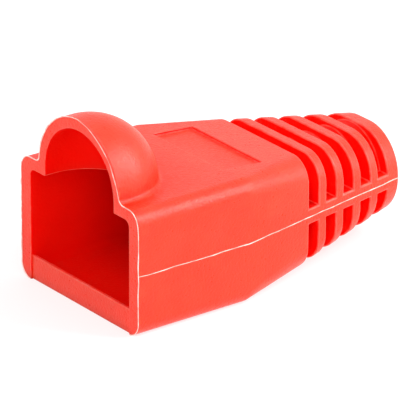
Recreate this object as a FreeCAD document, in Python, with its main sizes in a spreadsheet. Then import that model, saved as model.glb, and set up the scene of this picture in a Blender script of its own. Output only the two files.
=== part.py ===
import FreeCAD, Part
import math
import os

import Sketcher

# Strain relief boot for an RJ45 plug: one soft moulding. A box slips over the plug, a half-round
# hood on top covers its latch, and a ribbed tail holds the cable.
# Inside the body, +Y runs from the plug mouth (y = 0) to the cable end, +Z is up and z = 0 is the
# underside. The body itself is then set with its bounding box centred over the origin.

SIZES = [
    # box round the plug
    ("body_width", 14.0, "across the side walls of the box"),
    ("body_height", 9.5, "underside to top face"),
    ("box_length", 9.8, "straight part, from the mouth to the waist where the taper starts"),
    ("body_length", 16.1, "mouth to the back face of the body"),
    ("low_corner_radius", 1.12, "outer lower corners of the box"),
    ("high_corner_radius", 1.1, "outer upper corners of the box"),
    # back face of the body, where the tail starts
    ("shoulder_width", 11.54, "width of the back face"),
    ("shoulder_height", 8.57, "height of the back face"),
    ("shoulder_radius", 1.85, "corners of the back face"),
    # ribbed tail
    ("tail_length", 9.7, "back face to the cable end"),
    ("tail_front_height", 8.49, "height where the tail meets the back face"),
    ("tail_end_width", 7.97, "width at the cable end"),
    ("tail_end_height", 6.85, "height at the cable end"),
    ("tail_end_flat", 0.16, "straight part of each side at the cable end, between its round corners"),
    ("core_diameter", 6.7, "round core that shows between the ribs"),
    ("groove_count", 5, "slots along the tail"),
    ("groove_width", 1.03, "each slot, along the cable"),
    ("rib_pitch", 1.86, "from one slot to the next"),
    ("side_bar_height", 1.2, "bar that ties the ribs along each side"),
    # plug cavity
    ("side_wall", 1.1, "side walls of the box"),
    ("top_wall", 0.89, "top wall of the box"),
    ("floor_wall", 0.95, "floor behind the lip"),
    ("lip_height", 1.88, "top of the lip across the mouth, above the underside"),
    ("lip_land", 0.35, "flat top of the lip, along the cable"),
    ("lip_ramp", 0.7, "slope from the lip down to the floor"),
    ("lip_setback", 0.12, "front of the lip behind the ends of the side walls"),
    ("cavity_radius", 0.5, "inner corners of the cavity"),
    ("cavity_depth", 10.0, "mouth to the end of the straight cavity"),
    # throat and cable bore
    ("throat_station", 15.2, "mouth to the end of the throat"),
    ("throat_width", 7.0, "width of the throat where it meets the bore"),
    ("throat_height", 6.2, "height of the throat where it meets the bore"),
    ("bore_diameter", 5.5, "round cable bore"),
    # latch hood
    ("hood_radius", 4.8, "outside of the hood"),
    ("hood_straight", 1.0, "straight part of the hood, behind the mouth"),
    ("hood_blend", 0.4, "rounded foot of the hood on the top face"),
    ("latch_radius", 4.1, "pocket for the latch under the hood"),
    ("latch_sink", 0.17, "centre of the latch pocket below the top face"),
    ("latch_straight", 0.8, "straight part of the latch pocket, behind the mouth"),
    # recess in the top face
    ("recess_width", 8.3, "across the top face"),
    ("recess_start", 9.55, "mouth to the front of the recess"),
    ("recess_length", 3.5, "along the cable"),
    ("recess_depth", 0.25, "below the top face"),
]

X_AXIS, Z_AXIS = range(-1, -3, -1)
START, END, CENTRE = range(1, 4)
ORIGIN_POINT = (X_AXIS, START)
QUARTER_TURN = 90
FIT = 1e-4

doc = FreeCAD.newDocument("boot")

sheet = doc.addObject("Spreadsheet::Sheet", "sizes")
for row, (alias, value, note) in enumerate(SIZES, start=1):
    sheet.set(f"A{row}", alias)
    sheet.set(f"B{row}", str(value))
    sheet.set(f"C{row}", note)
    sheet.setAlias(f"B{row}", alias)
doc.recompute()

# Heights, stations and slopes that several features share. The taper runs straight from the box to
# the back face of the body.
PARTING = "sizes.body_height / 2"
CEILING = "(sizes.body_height - sizes.top_wall)"
CAVITY_WIDTH = "(sizes.body_width - 2 * sizes.side_wall)"
TOTAL_LENGTH = "(sizes.body_length + sizes.tail_length)"
FLOOR_STATION = "(sizes.lip_land + sizes.lip_ramp)"
LATCH_LEVEL = "(sizes.body_height - sizes.latch_sink)"
LIP_FACE_TOP = "(sizes.lip_height + sizes.cavity_radius)"
RECESS_END = "(sizes.recess_start + sizes.recess_length)"
TAIL_END_RADIUS = "((sizes.tail_end_height - sizes.tail_end_flat) / 2)"
TAPER = "((sizes.body_height - sizes.shoulder_height) / 2 / (sizes.body_length - sizes.box_length))"


def number(owner, expression):
    """Value of a sheet expression in millimetres."""
    return float(owner.evalExpression(expression))


def origin_plane(body, role):
    """One of the body's own origin planes."""
    return next(item for item in body.Origin.OriginFeatures if item.Role == role)


def section_sketch(body, name, station="0"):
    """Sketch across the cable, at a distance behind the mouth. Its x is X and its y is Z."""
    sketch = body.newObject("Sketcher::SketchObject", name)
    sketch.AttachmentSupport = (origin_plane(body, "XZ_Plane"), [""])
    sketch.MapMode = "FlatFace"
    sketch.setExpression("AttachmentOffset.Base.z", f"-1 * ({station})")
    doc.recompute()
    return sketch


def side_sketch(body, name, station="0"):
    """Sketch on the middle plane, with its zero at a distance behind the mouth. x is Y and y is Z."""
    sketch = body.newObject("Sketcher::SketchObject", name)
    sketch.AttachmentSupport = (origin_plane(body, "YZ_Plane"), [""])
    sketch.MapMode = "FlatFace"
    sketch.setExpression("AttachmentOffset.Base.x", station)
    doc.recompute()
    return sketch


def dimension(sketch, kind, places, expression):
    """Driving dimension, bound to the sheet."""
    constraint = Sketcher.Constraint(kind, *places, number(sketch, expression))
    index = sketch.addConstraint(constraint)
    label = f"{kind}_{index}"
    sketch.renameConstraint(index, label)
    sketch.setExpression("Constraints." + label, expression)


def relate(sketch, kind, *places):
    """Geometric constraint."""
    sketch.addConstraint(Sketcher.Constraint(kind, *places))


def arc(centre_x, centre_y, radius, start, end):
    """Counter-clockwise arc in sketch coordinates, with its angles in degrees."""
    centre = FreeCAD.Vector(centre_x, centre_y, 0)
    circle = Part.Circle(centre, FreeCAD.Vector(0, 0, 1), radius)
    return Part.ArcOfCircle(circle, math.radians(start), math.radians(end))


def line(start, end):
    """Straight edge between two sketch points."""
    return Part.LineSegment(FreeCAD.Vector(*start, 0), FreeCAD.Vector(*end, 0))


def rounded_rectangle(sketch, width, low, high, low_radius, high_radius):
    """Closed outline across the cable, symmetric about the middle. The sizes are expressions."""
    half = number(sketch, width) / 2
    bottom = number(sketch, low)
    top = number(sketch, high)
    small = number(sketch, low_radius)
    large = number(sketch, high_radius)
    corners = [
        (half - small, bottom + small, small, -QUARTER_TURN),
        (half - large, top - large, large, 0),
        (large - half, top - large, large, QUARTER_TURN),
        (small - half, bottom + small, small, 2 * QUARTER_TURN),
    ]
    arcs = [sketch.addGeometry(arc(*corner, corner[3] + QUARTER_TURN)) for corner in corners]
    sides = [
        sketch.addGeometry(line((half, bottom + small), (half, top - large))),
        sketch.addGeometry(line((half - large, top), (large - half, top))),
        sketch.addGeometry(line((-half, top - large), (-half, bottom + small))),
        sketch.addGeometry(line((small - half, bottom), (half - small, bottom))),
    ]
    right, upper, left, lower = sides
    for index, side in enumerate(sides):
        relate(sketch, "Tangent", arcs[index], END, side, START)
        relate(sketch, "Tangent", side, END, arcs[(index + 1) % len(arcs)], START)
    relate(sketch, "Vertical", right)
    relate(sketch, "Horizontal", upper)
    relate(sketch, "Vertical", left)
    relate(sketch, "Symmetric", lower, START, lower, END, Z_AXIS)
    relate(sketch, "Equal", arcs[0], arcs[3])
    relate(sketch, "Equal", arcs[1], arcs[2])
    dimension(sketch, "Radius", (arcs[0],), low_radius)
    dimension(sketch, "Radius", (arcs[1],), high_radius)
    dimension(sketch, "DistanceX", (left, START, right, START), width)
    dimension(sketch, "DistanceY", (*ORIGIN_POINT, upper, START), high)
    if bottom == 0:
        relate(sketch, "PointOnObject", lower, START, X_AXIS)
    else:
        dimension(sketch, "DistanceY", (*ORIGIN_POINT, lower, START), low)


def centred_rectangle(sketch, width, height, radius):
    """Rounded rectangle centred on the parting line."""
    rounded_rectangle(sketch, width, f"{PARTING} - {height} / 2", f"{PARTING} + {height} / 2",
                      radius, radius)


def polygon(sketch, points):
    """Closed outline of straight edges. Returns the edges, each starting at its own point."""
    edges = []
    for index, point in enumerate(points):
        edges.append(sketch.addGeometry(line(point, points[(index + 1) % len(points)])))
    for index, edge in enumerate(edges):
        relate(sketch, "Coincident", edge, END, edges[(index + 1) % len(edges)], START)
    return edges


def rectangle(sketch, width, low, high):
    """Sharp rectangle across the cable, symmetric about the middle."""
    half = number(sketch, width) / 2
    bottom = number(sketch, low)
    top = number(sketch, high)
    points = [(half, bottom), (half, top), (-half, top), (-half, bottom)]
    right, upper, left, lower = polygon(sketch, points)
    relate(sketch, "Vertical", right)
    relate(sketch, "Horizontal", upper)
    relate(sketch, "Vertical", left)
    relate(sketch, "Symmetric", lower, START, lower, END, Z_AXIS)
    dimension(sketch, "DistanceX", (lower, START, lower, END), width)
    dimension(sketch, "DistanceY", (*ORIGIN_POINT, upper, START), high)
    if bottom == 0:
        relate(sketch, "PointOnObject", lower, START, X_AXIS)
    else:
        dimension(sketch, "DistanceY", (*ORIGIN_POINT, lower, START), low)


def place_point(sketch, edge, across, up):
    """Fix the start of an edge by its two distances from the sketch's zero."""
    for kind, expression in (("DistanceX", across), ("DistanceY", up)):
        dimension(sketch, kind, (*ORIGIN_POINT, edge, START), expression)


def circle_sketch(body, name, diameter, station="0"):
    """Circle round the cable's centre line."""
    sketch = section_sketch(body, name, station)
    level = number(sketch, PARTING)
    shape = Part.Circle(FreeCAD.Vector(0, level, 0), FreeCAD.Vector(0, 0, 1),
                        number(sketch, diameter) / 2)
    ring = sketch.addGeometry(shape)
    relate(sketch, "PointOnObject", ring, CENTRE, Z_AXIS)
    dimension(sketch, "DistanceY", (*ORIGIN_POINT, ring, CENTRE), PARTING)
    dimension(sketch, "Diameter", (ring,), diameter)
    return sketch


def arch_sketch(body, name, radius, centre, foot):
    """Half disc across the cable, carried straight down from its centre level to the foot level."""
    sketch = section_sketch(body, name)
    level = number(sketch, centre)
    reach = number(sketch, radius)
    base = number(sketch, foot)
    bow = sketch.addGeometry(arc(0, level, reach, 0, 2 * QUARTER_TURN))
    left = sketch.addGeometry(line((-reach, level), (-reach, base)))
    lower = sketch.addGeometry(line((-reach, base), (reach, base)))
    right = sketch.addGeometry(line((reach, base), (reach, level)))
    relate(sketch, "Tangent", bow, END, left, START)
    relate(sketch, "Coincident", left, END, lower, START)
    relate(sketch, "Coincident", lower, END, right, START)
    relate(sketch, "Tangent", right, END, bow, START)
    relate(sketch, "Vertical", left)
    relate(sketch, "Horizontal", lower)
    relate(sketch, "PointOnObject", bow, CENTRE, Z_AXIS)
    dimension(sketch, "Radius", (bow,), radius)
    dimension(sketch, "DistanceY", (*ORIGIN_POINT, bow, CENTRE), centre)
    dimension(sketch, "DistanceY", (*ORIGIN_POINT, lower, START), foot)
    return sketch


def dome_sketch(body, name, station, radius, centre, foot):
    """Quarter disc behind an upright axis at a station, carried down to the foot level."""
    sketch = side_sketch(body, name, station)
    level = number(sketch, centre)
    reach = number(sketch, radius)
    base = number(sketch, foot)
    bow = sketch.addGeometry(arc(0, level, reach, 0, QUARTER_TURN))
    axis = sketch.addGeometry(line((0, level + reach), (0, base)))
    lower = sketch.addGeometry(line((0, base), (reach, base)))
    back = sketch.addGeometry(line((reach, base), (reach, level)))
    relate(sketch, "Coincident", bow, END, axis, START)
    relate(sketch, "Coincident", axis, END, lower, START)
    relate(sketch, "Coincident", lower, END, back, START)
    relate(sketch, "Tangent", back, END, bow, START)
    relate(sketch, "PointOnObject", bow, CENTRE, Z_AXIS)
    relate(sketch, "PointOnObject", axis, START, Z_AXIS)
    relate(sketch, "Vertical", axis)
    relate(sketch, "Horizontal", lower)
    dimension(sketch, "Radius", (bow,), radius)
    dimension(sketch, "DistanceY", (*ORIGIN_POINT, bow, CENTRE), centre)
    dimension(sketch, "DistanceY", (*ORIGIN_POINT, lower, START), foot)
    return sketch


def loft(body, kind, name, sketches):
    """Straight-sided loft through a row of sections."""
    feature = body.newObject(kind, name)
    feature.Profile = (sketches[0], [""])
    feature.Sections = [(sketch, [""]) for sketch in sketches[1:]]
    feature.Ruled = True
    return feature


def pad(body, name, sketch, length):
    """Solid from a section sketch towards the cable end."""
    feature = body.newObject("PartDesign::Pad", name)
    feature.Profile = (sketch, [""])
    feature.Reversed = True
    feature.setExpression("Length", length)
    return settled(feature, grows=True)


def pocket(body, name, sketch, length):
    """Cut from a section sketch towards the cable end."""
    feature = body.newObject("PartDesign::Pocket", name)
    feature.Profile = (sketch, [""])
    feature.setExpression("Length", length)
    return settled(feature, grows=False)


def half_turn(body, kind, name, sketch):
    """Revolve a middle-plane sketch a quarter turn each way about its upright axis."""
    feature = body.newObject(kind, name)
    feature.Profile = (sketch, [""])
    feature.ReferenceAxis = (sketch, ["V_Axis"])
    feature.Angle = 2 * QUARTER_TURN
    feature.Midplane = True
    return settled(feature, grows=kind == "PartDesign::Revolution")


def fill_edges(body, name, base, wanted, radius):
    """Fillet that fills the inner edges of a feature whose bounding boxes pass a test."""
    edges = enumerate(base.Shape.Edges, start=1)
    names = [f"Edge{index}" for index, edge in edges if wanted(edge.BoundBox)]
    feature = body.newObject("PartDesign::Fillet", name)
    feature.Base = (base, names)
    feature.setExpression("Radius", radius)
    return settled(feature, grows=True)


def settled(feature, grows):
    """Recompute, and make sure that the feature really added or removed material."""
    doc.recompute()
    base = feature.BaseFeature
    if base is not None and (feature.Shape.Volume > base.Shape.Volume) != grows:
        raise ValueError(feature.Name + " did not change the body as it should")
    return feature


def top_level(station):
    """Height of the tapered top face at a station behind the box."""
    return f"(sizes.body_height - {TAPER} * ({station} - sizes.box_length))"


def on_hood_foot(box):
    """True for an edge where the hood stands on the top face."""
    flat = box.ZLength < FIT and abs(box.ZMin - number(sheet, "sizes.body_height")) < FIT
    reach = number(sheet, "sizes.hood_radius") + FIT
    inside = max(-box.XMin, box.XMax) < reach and box.YMax < reach + number(sheet, "sizes.hood_straight")
    return flat and inside and box.YMax > FIT


boot = doc.addObject("PartDesign::Body", "boot")
boot.Label = "boot"

# Outside: the box round the plug, straight to the waist, then tapered to the back face.
front, waist = [section_sketch(boot, "front"), section_sketch(boot, "waist", "sizes.box_length")]
for sketch in (front, waist):
    rounded_rectangle(sketch, "sizes.body_width", "0", "sizes.body_height",
                      "sizes.low_corner_radius", "sizes.high_corner_radius")
pad(boot, "box", front, "sizes.box_length")
shoulder = section_sketch(boot, "shoulder", "sizes.body_length")
centred_rectangle(shoulder, "sizes.shoulder_width", "sizes.shoulder_height", "sizes.shoulder_radius")
settled(loft(boot, "PartDesign::AdditiveLoft", "taper", [waist, shoulder]), grows=True)

# Tail: a tapered envelope, cut by slots above and below the side bars, round a plain core.
tail_front = section_sketch(boot, "tail_front", "sizes.body_length")
centred_rectangle(tail_front, "sizes.shoulder_width", "sizes.tail_front_height", "sizes.shoulder_radius")
tail_back = section_sketch(boot, "tail_back", TOTAL_LENGTH)
centred_rectangle(tail_back, "sizes.tail_end_width", "sizes.tail_end_height", TAIL_END_RADIUS)
settled(loft(boot, "PartDesign::AdditiveLoft", "tail", [tail_front, tail_back]), grows=True)

upper_slot = section_sketch(boot, "upper_slot_face", "sizes.body_length")
rectangle(upper_slot, "sizes.body_width", f"{PARTING} + sizes.side_bar_height / 2", "sizes.body_height")
upper_cut = pocket(boot, "upper_slot", upper_slot, "sizes.groove_width")
lower_slot = section_sketch(boot, "lower_slot_face", "sizes.body_length")
rectangle(lower_slot, "sizes.body_width", "0", f"{PARTING} - sizes.side_bar_height / 2")
lower_cut = pocket(boot, "lower_slot", lower_slot, "sizes.groove_width")
slot_row = boot.newObject("PartDesign::LinearPattern", "slot_row")
slot_row.Originals = [upper_cut, lower_cut]
slot_row.Direction = (lower_slot, ["N_Axis"])
slot_row.Reversed = True
slot_row.setExpression("Length", "sizes.rib_pitch * (sizes.groove_count - 1)")
slot_row.setExpression("Occurrences", "sizes.groove_count")
boot.Tip = slot_row
settled(slot_row, grows=False)

core_face = circle_sketch(boot, "core_face", "sizes.core_diameter", "sizes.body_length")
pad(boot, "core", core_face, "sizes.tail_length")

# Latch hood: a half-round arch at the mouth that ends in a quarter sphere.
hood_arch = arch_sketch(boot, "hood_arch", "sizes.hood_radius", "sizes.body_height", CEILING)
pad(boot, "hood_front", hood_arch, "sizes.hood_straight")
hood_dome = dome_sketch(boot, "hood_dome", "sizes.hood_straight", "sizes.hood_radius",
                        "sizes.body_height", CEILING)
hood_back = half_turn(boot, "PartDesign::Revolution", "hood_back", hood_dome)
fill_edges(boot, "hood_foot", hood_back, on_hood_foot, "sizes.hood_blend")

# Recess in the tapered top face.
recess_side = side_sketch(boot, "recess_side")
outline = [
    ("sizes.recess_start", f"{top_level('sizes.recess_start')} - sizes.recess_depth"),
    (RECESS_END, f"{top_level(RECESS_END)} - sizes.recess_depth"),
    (RECESS_END, "sizes.body_height"),
    ("sizes.recess_start", "sizes.body_height"),
]
corners = [(number(sheet, across), number(sheet, up)) for across, up in outline]
for edge, (across, up) in zip(polygon(recess_side, corners), outline):
    place_point(recess_side, edge, across, up)
recess = boot.newObject("PartDesign::Pocket", "recess")
recess.Profile = (recess_side, [""])
recess.SideType = "Symmetric"
recess.setExpression("Length", "sizes.recess_width")
settled(recess, grows=False)

# Inside: mouth over the lip, down to the floor, back to the throat and into the cable bore.
stations = [
    ("mouth", "0", "sizes.lip_height"),
    ("lip_back", "sizes.lip_land", "sizes.lip_height"),
    ("floor_front", FLOOR_STATION, "sizes.floor_wall"),
    ("cavity_back", "sizes.cavity_depth", "sizes.floor_wall"),
]
sections = []
for name, station, low in stations:
    sketch = section_sketch(boot, name, station)
    rounded_rectangle(sketch, CAVITY_WIDTH, low, CEILING, "sizes.cavity_radius", "sizes.cavity_radius")
    sections.append(sketch)
throat = section_sketch(boot, "throat", "sizes.throat_station")
centred_rectangle(throat, "sizes.throat_width", "sizes.throat_height", "sizes.cavity_radius")
sections.append(throat)
settled(loft(boot, "PartDesign::SubtractiveLoft", "cavity", sections), grows=False)

bore_face = circle_sketch(boot, "bore_face", "sizes.bore_diameter", "sizes.cavity_depth")
pocket(boot, "bore", bore_face, TOTAL_LENGTH)

latch_arch = arch_sketch(boot, "latch_arch", "sizes.latch_radius", LATCH_LEVEL, PARTING)
pocket(boot, "latch_front", latch_arch, "sizes.latch_straight")
latch_dome = dome_sketch(boot, "latch_dome", "sizes.latch_straight", "sizes.latch_radius", LATCH_LEVEL,
                         PARTING)
half_turn(boot, "PartDesign::Groove", "latch_back", latch_dome)

# The front of the lip, with the round corners above it, lies behind the ends of the side walls.
lip_front = section_sketch(boot, "lip_front")
rectangle(lip_front, CAVITY_WIDTH, "0", LIP_FACE_TOP)
pocket(boot, "lip_face", lip_front, "sizes.lip_setback")

boot.setExpression("Placement.Base.y", f"-1 * {TOTAL_LENGTH} / 2")
doc.recompute()

for item in doc.Objects:
    if "Invalid" in item.State or "Error" in item.State:
        raise ValueError(item.Name + " failed to build")
if boot.Shape.isNull() or not boot.Shape.isValid() or len(boot.Shape.Solids) != 1:
    raise ValueError("the boot is not one valid solid")

os.makedirs("parts", exist_ok=True)
boot.Shape.exportStep("parts/" + boot.Label + ".step")
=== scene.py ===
"""Looks of the RJ45 strain relief boot: soft red PVC, softened edges, mould flash, white studio."""
import math
import random

import bmesh
import bpy
from mathutils import Matrix, Vector
from mathutils.bvhtree import BVHTree


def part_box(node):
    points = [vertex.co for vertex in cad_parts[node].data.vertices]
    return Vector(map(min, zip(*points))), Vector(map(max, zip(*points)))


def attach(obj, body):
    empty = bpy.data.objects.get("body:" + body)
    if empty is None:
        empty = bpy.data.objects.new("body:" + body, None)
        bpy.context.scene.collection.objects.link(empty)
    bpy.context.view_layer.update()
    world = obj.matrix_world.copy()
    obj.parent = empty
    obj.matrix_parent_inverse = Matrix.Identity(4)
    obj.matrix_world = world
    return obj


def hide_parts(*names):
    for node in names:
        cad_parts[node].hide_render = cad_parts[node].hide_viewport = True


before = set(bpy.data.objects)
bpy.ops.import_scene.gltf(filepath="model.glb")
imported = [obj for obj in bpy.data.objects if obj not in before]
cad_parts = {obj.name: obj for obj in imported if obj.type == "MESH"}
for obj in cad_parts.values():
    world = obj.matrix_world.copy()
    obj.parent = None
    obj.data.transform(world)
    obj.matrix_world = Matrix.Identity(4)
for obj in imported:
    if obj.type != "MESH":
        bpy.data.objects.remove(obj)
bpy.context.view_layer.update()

MM = 0.001
BODY = "root"
NODE = "boot"
LOWEST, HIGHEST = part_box(NODE)

# Places on the boot
MOUTH_STATION = LOWEST.y
END_STATION = HIGHEST.y
THROAT_END = MOUTH_STATION + 15.2 * MM
TAIL_START = MOUTH_STATION + 16.1 * MM
PARTING_LEVEL = 4.75 * MM
OPENING_CENTRE = 5.5 * MM
HOOD_CENTRE_LEVEL = 9.5 * MM
INNER_WALL = 5.9 * MM
CAVITY_RADIUS = 0.5 * MM
CAVITY_DEPTH = 10.0 * MM
LIP_TOP = 1.88 * MM
LIP_LAND = 0.35 * MM
LIP_LENGTH = 1.05 * MM
CORE_REACH = 3.38 * MM
PLANE_MARGIN = 0.002 * MM
BORE_EDGE_MARGIN = 0.1 * MM
FACING = 0.9

# Softened edges of the moulding
WELD_DISTANCE = 0.0005 * MM
SLIVER = 0.02 * MM
FLAT_ANGLE = math.radians(0.4)
CRISP_ANGLE = math.radians(27.0)
GENTLE_ANGLE = math.radians(40.0)
RIB_EDGE_RADIUS = 0.13 * MM
BODY_ROUNDNESS = 0.65
MOUTH_ROUNDNESS = 0.4
EDGE_SEGMENTS = 3
PLAIN_SLOT = 0
ROUNDED_SLOT = 1

# Painted shade from the share of open sky that each place sees past the boot
OPEN_SKY_RAYS = 40
OPEN_SKY_REACH = 5.0 * MM
SURFACE_OFFSET = 0.02 * MM
CORNER_INSET = 0.1

# Colours and texture of the plastic
# Painted shade: a darker red for sheltered places, and a paler dust-toned red with painted sheen for
# open ones
SHADED_DEEP_REDS = (0.84, 0.004, 0.001), (0.88, 0.006, 0.002)
# Painted shade: a still darker red for the back of the cavity
CAVITY_SHADE_RED = (0.66, 0.002, 0.001)
DUST_AND_SHEEN_REDS = (0.88, 0.035, 0.009), (0.91, 0.044, 0.014)
# Paler edge colour: partly worn edges, partly painted highlight along the rounded strips
WEAR_AND_HIGHLIGHT_RED = (0.92, 0.13, 0.1)
FLASH_PINKS = (1.0, 0.42, 0.36), (1.0, 0.82, 0.76)
OPEN_SKY_SHADE_SPAN = {"start": 0.35, "end": 0.95}
COLOUR_SPAN = {"start": 0.3, "end": 0.95}
CAVITY_SHADE_SPAN = {"start": 0.35, "end": 1.0}
PATCH_SPAN = {"start": 0.35, "end": 0.65}
ROUGHNESS_RANGE = (0.26, 0.42)
SHELTERED_DULLNESS = 0.28
GLOSS_RANGE = (0.08, 0.32)
RUB_RANGE = (0.3, 0.9)
FLASH_ROUGHNESS = (0.35, 0.55)
CLOUD_SIZE = 2.5 * MM
RUB_SIZE = 0.5 * MM
GRAIN_SIZE = 0.2 * MM
GRAIN_DEPTH = 0.045 * MM
SWELL_SIZE = 1.6 * MM
SWELL_DEPTH = 0.03 * MM
SCATTER_REACH = 1.3 * MM
SCATTER_BY_COLOUR = (1.0, 0.06, 0.04)
PATCH_SIZE = 0.45 * MM
BURR_SIZE = 0.1 * MM
BURR_DEPTH = 0.01 * MM

# Mould flash
FLASH_STEP = 0.12 * MM
FLASH_HALF_WIDTH = 0.034 * MM
FLASH_HEIGHT = 0.05 * MM
FLASH_SINK = 0.03 * MM
FLASH_WANDER = 0.03 * MM
FLASH_END_WIDTH = 0.4
SHOULDER_REACH = 0.6
SHOULDER_HEIGHT = 0.55
HEIGHT_VARIATION = 0.6
WIDTH_VARIATION = 0.45
HEIGHT_SPACING = 5
WIDTH_SPACING = 7
DRIFT_SPACING = 9
FADING_POINTS = 3.0
HOOD_SLIP = 0.3 * MM
SLIP_POWER = 0.8
FLASH_SEED = 45

# Studio
AMBIENT_STRENGTH = 0.82
FLOOR_SIZE = 1.6
PAPER_GREY = (0.88, 0.88, 0.88, 1.0)
SHADOW_GREY = (0.46, 0.46, 0.46, 1.0)
FLOOR_GLOW = 0.61


# ---------------------------------------------------------------- materials


def new_material(name):
    """An empty node material with its output, its Principled shader and its object coordinates."""
    material = bpy.data.materials.new(name)
    material.use_nodes = True
    tree = material.node_tree
    tree.nodes.clear()
    output = tree.nodes.new("ShaderNodeOutputMaterial")
    shader = tree.nodes.new("ShaderNodeBsdfPrincipled")
    tree.links.new(shader.outputs["BSDF"], output.inputs["Surface"])
    place = tree.nodes.new("ShaderNodeTexCoord").outputs["Object"]
    return material, tree, shader, place


def noise(tree, place, feature_size, detail=2.0, roughness=0.5):
    """Noise whose features are about feature_size across, in metres."""
    node = tree.nodes.new("ShaderNodeTexNoise")
    node.inputs["Scale"].default_value = 1.0 / feature_size
    node.inputs["Detail"].default_value = detail
    node.inputs["Roughness"].default_value = roughness
    tree.links.new(place, node.inputs["Vector"])
    return node.outputs["Fac"]


def spread(tree, value, low, high, start=0.3, end=0.7):
    """Maps a noise value to the range from low to high."""
    node = tree.nodes.new("ShaderNodeMapRange")
    node.inputs["From Min"].default_value = start
    node.inputs["From Max"].default_value = end
    node.inputs["To Min"].default_value = low
    node.inputs["To Max"].default_value = high
    tree.links.new(value, node.inputs["Value"])
    return node.outputs["Result"]


def calculate(tree, operation, first, second):
    """The result of a sum, a product or another operation on two sockets."""
    node = tree.nodes.new("ShaderNodeMath")
    node.operation = operation
    tree.links.new(first, node.inputs[0])
    tree.links.new(second, node.inputs[1])
    return node.outputs["Value"]


def blend_colour(tree, factor, first, second):
    """Mixes two colours, each a tuple or a socket, by a factor."""
    node = tree.nodes.new("ShaderNodeMix")
    node.data_type = "RGBA"
    tree.links.new(factor, node.inputs["Factor"])
    sockets = [socket for socket in node.inputs if socket.type == "RGBA"]
    for socket, colour in zip(sockets, (first, second)):
        if isinstance(colour, tuple):
            socket.default_value = colour + (1.0,)
        else:
            tree.links.new(colour, socket)
    return next(socket for socket in node.outputs if socket.type == "RGBA")


def stored_number(tree, name):
    """A number that the mesh stores at its corners."""
    node = tree.nodes.new("ShaderNodeAttribute")
    node.attribute_name = name
    return node.outputs["Fac"]


def add_bump(tree, shader, height, depth, before=None):
    """Adds a bump of the given depth, in metres, and returns its normal."""
    node = tree.nodes.new("ShaderNodeBump")
    node.inputs["Distance"].default_value = depth
    node.inputs["Strength"].default_value = 1.0
    tree.links.new(height, node.inputs["Height"])
    if before is not None:
        tree.links.new(before, node.inputs["Normal"])
    tree.links.new(node.outputs["Normal"], shader.inputs["Normal"])
    return node.outputs["Normal"]


def soft_pvc():
    """Red moulded PVC with painted light: a darker red of painted shade where little sky is seen and
    darker still further into the cavity, a paler dust-toned red with painted sheen where open, and paler
    rubbed edges that are partly worn and partly painted highlight.
    """
    material, tree, shader, place = new_material("soft_pvc")
    clouds = spread(tree, noise(tree, place, CLOUD_SIZE, detail=3.0), 0.0, 1.0)
    # Painted shade: the darker red stands for sheltered places, the paler one with painted sheen for
    # open places
    deep = blend_colour(tree, clouds, *SHADED_DEEP_REDS)
    dust_and_sheen = blend_colour(tree, clouds, *DUST_AND_SHEEN_REDS)
    # Painted shade: darker red the further a place lies inside the cavity
    cavity_shade = spread(tree, stored_number(tree, "depth"), 0.0, 1.0, **CAVITY_SHADE_SPAN)
    deep = blend_colour(tree, cavity_shade, deep, CAVITY_SHADE_RED)
    # Painted shade: the share of open sky mixes the darker red towards the paler red with painted sheen
    open_sky_shade = stored_number(tree, "open_sky_shade")
    red = blend_colour(tree, spread(tree, open_sky_shade, 0.0, 1.0, **COLOUR_SPAN), deep, dust_and_sheen)
    # Rounded strips take a paler red, partly worn and partly painted highlight, broken up by noise
    rubbed = spread(tree, noise(tree, place, RUB_SIZE), *RUB_RANGE)
    wear_and_highlight = calculate(tree, "MULTIPLY", stored_number(tree, "edge"), rubbed)
    tree.links.new(blend_colour(tree, wear_and_highlight, red, WEAR_AND_HIGHLIGHT_RED), shader.inputs["Base Color"])
    grain = noise(tree, place, GRAIN_SIZE, detail=3.0, roughness=0.6)
    dullness = spread(tree, open_sky_shade, SHELTERED_DULLNESS, 0.0, **OPEN_SKY_SHADE_SPAN)
    roughness = calculate(tree, "ADD", spread(tree, grain, *ROUGHNESS_RANGE), dullness)
    tree.links.new(roughness, shader.inputs["Roughness"])
    gloss = spread(tree, open_sky_shade, *GLOSS_RANGE, **OPEN_SKY_SHADE_SPAN)
    tree.links.new(gloss, shader.inputs["Specular IOR Level"])
    normal = add_bump(tree, shader, noise(tree, place, SWELL_SIZE), SWELL_DEPTH)
    add_bump(tree, shader, grain, GRAIN_DEPTH, before=normal)
    shader.inputs["Subsurface Weight"].default_value = 1.0
    shader.inputs["Subsurface Radius"].default_value = SCATTER_BY_COLOUR
    shader.inputs["Subsurface Scale"].default_value = SCATTER_REACH
    return material


def flash_pvc():
    """The thin squeezed-out edge of the same plastic, which lets light through and looks pale."""
    material, tree, shader, place = new_material("flash_pvc")
    patches = spread(tree, noise(tree, place, PATCH_SIZE), 0.0, 1.0, **PATCH_SPAN)
    tree.links.new(blend_colour(tree, patches, *FLASH_PINKS), shader.inputs["Base Color"])
    tree.links.new(spread(tree, patches, *FLASH_ROUGHNESS), shader.inputs["Roughness"])
    add_bump(tree, shader, noise(tree, place, BURR_SIZE), BURR_DEPTH)
    return material


# ---------------------------------------------------------------- pieces


def new_piece(name, data, material):
    """A finished piece on the boot's body, in the boot's material slot."""
    data.name = name
    data.materials.append(material)
    piece = bpy.data.objects.new(name, data)
    bpy.context.scene.collection.objects.link(piece)
    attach(piece, BODY)
    return piece


def joined_mesh():
    """The boot's own mesh with its faces joined at their shared edges."""
    mesh = bmesh.new()
    mesh.from_mesh(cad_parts[NODE].data)
    bmesh.ops.remove_doubles(mesh, verts=mesh.verts, dist=WELD_DISTANCE)
    return mesh


def at_mouth(edge):
    """True for an edge in the plane of the mouth."""
    return all(vert.co.y < MOUTH_STATION + PLANE_MARGIN for vert in edge.verts)


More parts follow.
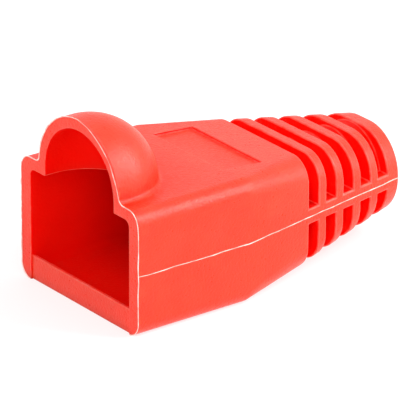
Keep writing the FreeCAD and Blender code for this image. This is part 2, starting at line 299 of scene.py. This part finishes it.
def square_lip_ends(mesh):
    """Draws the lip's flat top straight across to the side walls, without its round corners."""
    for vert in mesh.verts:
        place = vert.co
        in_front = place.y < MOUTH_STATION + LIP_LAND + PLANE_MARGIN
        between_walls = abs(place.x) < INNER_WALL + PLANE_MARGIN
        if in_front and between_walls and LIP_TOP < place.z < LIP_TOP + CAVITY_RADIUS + PLANE_MARGIN:
            place.z = LIP_TOP


def at_lip_end(edge):
    """True for the short edges where the lip meets a side wall."""
    middle = (edge.verts[0].co + edge.verts[1].co) / 2.0
    beyond_lip = abs(middle.x) > INNER_WALL - CAVITY_RADIUS - PLANE_MARGIN
    in_front = middle.y < MOUTH_STATION + LIP_LENGTH + PLANE_MARGIN
    return beyond_lip and in_front and middle.z < LIP_TOP + CAVITY_RADIUS and faces_inward(edge)


def at_bore_mouth(edge):
    """True for the edge where the throat opens into the cable bore."""
    return all(abs(vert.co.y - THROAT_END) < BORE_EDGE_MARGIN for vert in edge.verts)


def faces_inward(edge):
    """True for an edge of the opening, and not of the outside."""
    middle = (edge.verts[0].co + edge.verts[1].co) / 2.0
    centre = Vector((0.0, middle.y, OPENING_CENTRE))
    return any(face.normal.y > -FACING and face.normal.dot(middle - centre) < 0.0
               for face in edge.link_faces)


def on_rib(edge):
    """True for an outward edge of the ribbed tail."""
    return edge.is_convex and all(vert.co.y > TAIL_START - PLANE_MARGIN for vert in edge.verts)


def is_crisp(edge):
    """True where two faces meet at a clear angle."""
    return edge.is_manifold and edge.calc_face_angle(0.0) > CRISP_ANGLE


def edge_roundness(edge):
    """How round an edge is, as a share of the ribs' edge radius."""
    if not is_crisp(edge) or at_bore_mouth(edge):
        return 0.0
    if at_mouth(edge):
        return MOUTH_ROUNDNESS
    if at_lip_end(edge):
        return 0.0
    if on_rib(edge):
        return 1.0
    return BODY_ROUNDNESS


def shade_by_area(data):
    """Gives each corner the mean normal, by area, of the faces round it that turn away only gently."""
    around = [[] for _ in data.vertices]
    for face in data.polygons:
        for index in face.vertices:
            around[index].append(face)
    limit = math.cos(GENTLE_ANGLE)
    normals = []
    for face in data.polygons:
        for index in face.vertices:
            gentle = [other for other in around[index] if other.normal.dot(face.normal) > limit]
            total = sum((other.normal * other.area for other in gentle), Vector())
            normals.append(total.normalized())
    data.normals_split_custom_set(normals)


def softened(mesh):
    """A new mesh with its crisp edges rounded. ROUNDED_SLOT marks the rounded strips."""
    weights = mesh.edges.layers.float.new("bevel_weight_edge")
    for edge in mesh.edges:
        edge[weights] = edge_roundness(edge)
    data = bpy.data.meshes.new("crisp")
    mesh.to_mesh(data)
    mesh.free()
    for _ in (PLAIN_SLOT, ROUNDED_SLOT):
        data.materials.append(None)
    data.shade_smooth()
    holder = bpy.data.objects.new("crisp", data)
    bpy.context.scene.collection.objects.link(holder)
    bevel = holder.modifiers.new("rounded", "BEVEL")
    bevel.limit_method = "WEIGHT"
    bevel.width = RIB_EDGE_RADIUS
    bevel.segments = EDGE_SEGMENTS
    bevel.use_clamp_overlap = False
    bevel.loop_slide = False
    bevel.material = ROUNDED_SLOT
    evaluated = holder.evaluated_get(bpy.context.evaluated_depsgraph_get())
    result = bpy.data.meshes.new_from_object(evaluated)
    bpy.data.objects.remove(holder)
    bpy.data.meshes.remove(data)
    shade_by_area(result)
    return result


def sky_directions(count):
    """Directions over the half space about +Z, denser towards its pole, as diffuse light counts them."""
    golden = math.pi * (3.0 - math.sqrt(5.0))
    result = []
    for index in range(count):
        share = (index + 0.5) / count
        flat = math.sqrt(share)
        turn = golden * index
        result.append(Vector((flat * math.cos(turn), flat * math.sin(turn), math.sqrt(1.0 - share))))
    return result


def has_wall_outside(place, surface):
    """True where the boot has a wall between this place and the outside, as in the cavity."""
    arm = Vector((place.x, 0.0, place.z - OPENING_CENTRE))
    return surface.ray_cast(place, arm.normalized())[0] is not None


def openness(place, normal, surface, directions):
    """Share of the sky that this place sees past the boot itself."""
    turn = normal.to_track_quat("Z", "Y")
    seen = sum(surface.ray_cast(place, turn @ ray, OPEN_SKY_REACH)[0] is None for ray in directions)
    return seen / len(directions)


def in_groove(face):
    """True for a wall or the floor of a groove between two ribs."""
    centre = face.center
    if not TAIL_START + PLANE_MARGIN < centre.y < END_STATION - PLANE_MARGIN:
        return False
    is_wall = abs(face.normal.y) > FACING
    on_core = math.hypot(centre.x, centre.z - PARTING_LEVEL) < CORE_REACH
    return is_wall or on_core


def mark_surface(data, surface):
    """Stores three numbers: edge, on rounded strips, for paler edges that are partly worn and partly
    painted highlight; the share of open sky, for painted shade; and depth, inside, for a darker painted
    shade further in.
    """
    directions = sky_directions(OPEN_SKY_RAYS)
    names = ("edge", "open_sky_shade", "depth")
    for name in names:
        data.attributes.new(name, "FLOAT", "CORNER")
    edge, open_sky_shade, depth = (data.attributes[name] for name in names)
    for face in data.polygons:
        centre = face.center
        lift = face.normal * SURFACE_OFFSET
        # Grooves and the cavity keep an open-sky share of 0, so they take the painted shade
        grooved = in_groove(face)
        inside = not grooved and has_wall_outside(centre + lift, surface)
        for loop in face.loop_indices:
            corner = data.vertices[data.loops[loop].vertex_index].co
            # Rounded strips: paler edges, partly worn and partly painted highlight
            edge.data[loop].value = float(face.material_index == ROUNDED_SLOT)
            if inside:
                # Painted shade in the cavity: darker the further in from the nearest opening
                nearest_opening = min(corner.y - MOUTH_STATION, END_STATION - corner.y)
                depth.data[loop].value = min(1.0, nearest_opening / CAVITY_DEPTH)
            elif not grooved:
                # Painted shade by open sky: the share of rays that escape the boot, stored at each
                # corner
                place = corner.lerp(centre, CORNER_INSET) + lift
                open_sky_shade.data[loop].value = openness(place, face.normal, surface, directions)


def skin_of_boot():
    """The moulding with its crisp edges softened, and marked for the edges' paler colour with painted
    highlight, painted shade by open sky and painted shade by depth.
    """
    mesh = joined_mesh()
    square_lip_ends(mesh)
    bmesh.ops.remove_doubles(mesh, verts=mesh.verts, dist=SLIVER)
    bmesh.ops.dissolve_limit(mesh, angle_limit=FLAT_ANGLE, verts=mesh.verts, edges=mesh.edges)
    bmesh.ops.connect_verts_concave(mesh, faces=mesh.faces)
    data = softened(mesh)
    surface = BVHTree.FromPolygons([vert.co for vert in data.vertices],
                                   [face.vertices for face in data.polygons])
    mark_surface(data, surface)
    for face in data.polygons:
        face.material_index = PLAIN_SLOT
    data.materials.clear()
    return data


def uneven(count, generator, spacing):
    """A smooth run of random values from -1 to 1, whose hills are about spacing samples long."""
    knots = [generator.uniform(-1.0, 1.0) for _ in range(count // spacing + 3)]
    values = []
    for index in range(count):
        knot, rest = divmod(index, spacing)
        part = rest / spacing
        part = part * part * (3.0 - 2.0 * part)
        values.append(knots[knot] * (1.0 - part) + knots[knot + 1] * part)
    return values


def evenly_spaced(points, step):
    """The same path with its points about step apart."""
    result = [points[0]]
    travelled = 0.0
    for start, end in zip(points, points[1:]):
        length = (end - start).length
        while travelled + length >= step:
            share = (step - travelled) / length
            start = start.lerp(end, share)
            result.append(start)
            length = (end - start).length
            travelled = 0.0
        travelled += length
    return result


def flash_ridge(points, outward, generator):
    """A low uneven ridge along points. outward gives the surface's direction at each point."""
    count = len(points)
    heights = uneven(count, generator, HEIGHT_SPACING)
    widths = uneven(count, generator, WIDTH_SPACING)
    drifts = uneven(count, generator, DRIFT_SPACING)
    mesh = bmesh.new()
    rings = []
    for index, point in enumerate(points):
        along = (points[min(index + 1, count - 1)] - points[max(index - 1, 0)]).normalized()
        normal = outward[index]
        across = along.cross(normal).normalized()
        fade = min(1.0, (index + 1) / FADING_POINTS, (count - index) / FADING_POINTS)
        taper = FLASH_END_WIDTH + (1.0 - FLASH_END_WIDTH) * fade
        half = FLASH_HALF_WIDTH * (1.0 + WIDTH_VARIATION * widths[index]) * taper
        height = FLASH_HEIGHT * (1.0 + HEIGHT_VARIATION * heights[index]) * fade
        centre = point + across * FLASH_WANDER * drifts[index]
        shoulder = SHOULDER_HEIGHT * height
        section = ((-1.0, -FLASH_SINK), (-SHOULDER_REACH, shoulder), (0.0, height),
                   (SHOULDER_REACH, shoulder), (1.0, -FLASH_SINK))
        rings.append([mesh.verts.new(centre + across * half * side + normal * lift)
                      for side, lift in section])
    for first, second in zip(rings, rings[1:]):
        for place in range(len(first)):
            following = (place + 1) % len(first)
            mesh.faces.new((first[place], first[following], second[following], second[place]))
    mesh.faces.new(rings[0])
    mesh.faces.new(reversed(rings[-1]))
    bmesh.ops.recalc_face_normals(mesh, faces=mesh.faces)
    data = bpy.data.meshes.new("ridge")
    mesh.to_mesh(data)
    mesh.free()
    data.shade_smooth()
    return data


def side_flash(side, surface, generator):
    """The flash along one side at the parting level, from the mouth to the cable end."""
    reach = 2.0 * HIGHEST.x
    first = MOUTH_STATION + PLANE_MARGIN
    length = END_STATION - PLANE_MARGIN - first
    count = int(length / FLASH_STEP)
    points = []
    outward = []
    for index in range(count + 1):
        start = Vector((side * reach, first + length * index / count, PARTING_LEVEL))
        place, normal, _, _ = surface.ray_cast(start, Vector((-side, 0.0, 0.0)))
        points.append(place)
        outward.append(normal)
    return flash_ridge(points, outward, generator)


def mouth_outline():
    """The outer outline of the mouth's face, in order, from one end of the lip round to the other."""
    mesh = joined_mesh()
    links = {}
    for edge in mesh.edges:
        facing = [face.normal.y < -FACING for face in edge.link_faces]
        if not at_mouth(edge) or facing.count(True) != 1 or faces_inward(edge):
            continue
        first, second = (vert.index for vert in edge.verts)
        links.setdefault(first, []).append(second)
        links.setdefault(second, []).append(first)
    mesh.verts.ensure_lookup_table()
    chain = [next(index for index, others in links.items() if len(others) == 1)]
    previous = None
    while True:
        following = [index for index in links[chain[-1]] if index != previous]
        if not following:
            break
        previous = chain[-1]
        chain.append(following[0])
    points = [mesh.verts[index].co.copy() for index in chain]
    mesh.free()
    return points


def slipped(point):
    """Moves a point of the hood's front edge inward where the mould halves don't quite meet."""
    arm = Vector((point.x, 0.0, point.z - HOOD_CENTRE_LEVEL))
    turn = math.atan2(arm.z, arm.x)
    if arm.z <= 0.0 or turn > 0.5 * math.pi:
        return point
    return point - arm.normalized() * HOOD_SLIP * math.sin(2.0 * turn) ** SLIP_POWER


def mouth_flash(generator):
    """The flash round the outer edge of the mouth."""
    points = evenly_spaced(mouth_outline(), FLASH_STEP)
    forward = Vector((0.0, -1.0, 0.0))
    swept = sum(first.x * second.z - second.x * first.z for first, second in zip(points, points[1:]))
    sign = 1.0 if swept > 0.0 else -1.0
    outward = []
    count = len(points)
    for index in range(count):
        along = (points[min(index + 1, count - 1)] - points[max(index - 1, 0)]).normalized()
        sideways = Vector((along.z, 0.0, -along.x)) * sign
        outward.append((sideways + forward).normalized())
    return flash_ridge([slipped(point) for point in points], outward, generator)


# ---------------------------------------------------------------- studio


def direction_from(azimuth, elevation):
    """The direction from the boot to what stands at azimuth and elevation, in radians."""
    level = math.cos(elevation)
    return Vector((math.sin(azimuth) * level, -math.cos(azimuth) * level, math.sin(elevation)))


def soft_light(name, azimuth, elevation, distance, width, height, power):
    """A softbox that looks at the boot from azimuth and elevation, in degrees."""
    target = (LOWEST + HIGHEST) / 2.0
    direction = direction_from(math.radians(azimuth), math.radians(elevation))
    data = bpy.data.lights.new(name, "AREA")
    data.shape = "RECTANGLE"
    data.size = width
    data.size_y = height
    data.energy = power
    lamp = bpy.data.objects.new(name, data)
    bpy.context.scene.collection.objects.link(lamp)
    lamp.location = target + direction * distance
    lamp.rotation_euler = (-direction).to_track_quat("-Z", "Y").to_euler()
    return lamp


def seen_directly(tree):
    """1 for camera, glossy and transmission rays, and 0 for the rest."""
    rays = tree.nodes.new("ShaderNodeLightPath")
    total = rays.outputs["Is Camera Ray"]
    for name in ("Is Glossy Ray", "Is Transmission Ray"):
        total = calculate(tree, "MAXIMUM", total, rays.outputs[name])
    return total


def white_world():
    """A white surround for the camera and for gloss, and a plain ambient light for the rest."""
    world = bpy.data.worlds.new("surround")
    bpy.context.scene.world = world
    world.use_nodes = True
    tree = world.node_tree
    tree.nodes.clear()
    output = tree.nodes.new("ShaderNodeOutputWorld")
    mix = tree.nodes.new("ShaderNodeMixShader")
    for socket, strength in ((mix.inputs[1], AMBIENT_STRENGTH), (mix.inputs[2], 1.0)):
        background = tree.nodes.new("ShaderNodeBackground")
        background.inputs["Color"].default_value = (1.0, 1.0, 1.0, 1.0)
        background.inputs["Strength"].default_value = strength
        tree.links.new(background.outputs["Background"], socket)
    tree.links.new(seen_directly(tree), mix.inputs["Fac"])
    tree.links.new(mix.outputs["Shader"], output.inputs["Surface"])


def white_floor():
    """A white floor that keeps a faint shadow."""
    mesh = bmesh.new()
    bmesh.ops.create_grid(mesh, x_segments=1, y_segments=1, size=FLOOR_SIZE / 2.0)
    data = bpy.data.meshes.new("floor")
    mesh.to_mesh(data)
    mesh.free()
    floor = bpy.data.objects.new("floor", data)
    bpy.context.scene.collection.objects.link(floor)
    material = bpy.data.materials.new("white_paper")
    material.use_nodes = True
    tree = material.node_tree
    tree.nodes.clear()
    output = tree.nodes.new("ShaderNodeOutputMaterial")
    paper = tree.nodes.new("ShaderNodeBsdfDiffuse")
    paper.inputs["Color"].default_value = PAPER_GREY
    shadow = tree.nodes.new("ShaderNodeBsdfDiffuse")
    shadow.inputs["Color"].default_value = SHADOW_GREY
    glow = tree.nodes.new("ShaderNodeEmission")
    glow.inputs["Strength"].default_value = FLOOR_GLOW
    bright = tree.nodes.new("ShaderNodeAddShader")
    tree.links.new(shadow.outputs["BSDF"], bright.inputs[0])
    tree.links.new(glow.outputs["Emission"], bright.inputs[1])
    mix = tree.nodes.new("ShaderNodeMixShader")
    tree.links.new(seen_directly(tree), mix.inputs["Fac"])
    tree.links.new(paper.outputs["BSDF"], mix.inputs[1])
    tree.links.new(bright.outputs["Shader"], mix.inputs[2])
    tree.links.new(mix.outputs["Shader"], output.inputs["Surface"])
    data.materials.append(material)


def product_camera():
    """A long lens from the front right, a little above."""
    azimuth = math.radians(52.6343)
    elevation = math.radians(23.3985)
    roll = math.radians(0.3196)
    distance = 355.906 * MM
    target = Vector((2.077, -2.9, 5.585)) * MM
    back = direction_from(azimuth, elevation)
    right = (-back).cross(Vector((0.0, 0.0, 1.0))).normalized()
    up = right.cross(-back)
    rolled_right = right * math.cos(roll) + up * math.sin(roll)
    rolled_up = up * math.cos(roll) - right * math.sin(roll)
    data = bpy.data.cameras.new("product_camera")
    data.sensor_width = 36.0
    data.lens = 428.571
    data.clip_start = 0.01
    camera = bpy.data.objects.new("product_camera", data)
    bpy.context.scene.collection.objects.link(camera)
    turn = Matrix((rolled_right, rolled_up, back)).transposed().to_4x4()
    camera.matrix_world = Matrix.Translation(target + back * distance) @ turn
    bpy.context.scene.camera = camera


# ---------------------------------------------------------------- assembly

red_pvc = soft_pvc()
pale_pvc = flash_pvc()
cad_mesh = joined_mesh()
cad_surface = BVHTree.FromBMesh(cad_mesh)
cad_mesh.free()

skin = new_piece("boot_skin", skin_of_boot(), red_pvc)
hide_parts(NODE)

chance = random.Random(FLASH_SEED)
new_piece("flash_right", side_flash(1.0, cad_surface, chance), pale_pvc)
new_piece("flash_left", side_flash(-1.0, cad_surface, chance), pale_pvc)
new_piece("flash_mouth", mouth_flash(chance), pale_pvc)

white_world()
white_floor()
soft_light("back_right_softbox", azimuth=138.0, elevation=30.0, distance=0.5,
           width=0.22, height=0.34, power=2.6)
fill = soft_light("front_softbox", azimuth=35.0, elevation=38.0, distance=0.6,
                  width=0.5, height=0.5, power=1.3)
fill.visible_glossy = False
product_camera()
bpy.context.scene.view_settings.view_transform = "Standard"
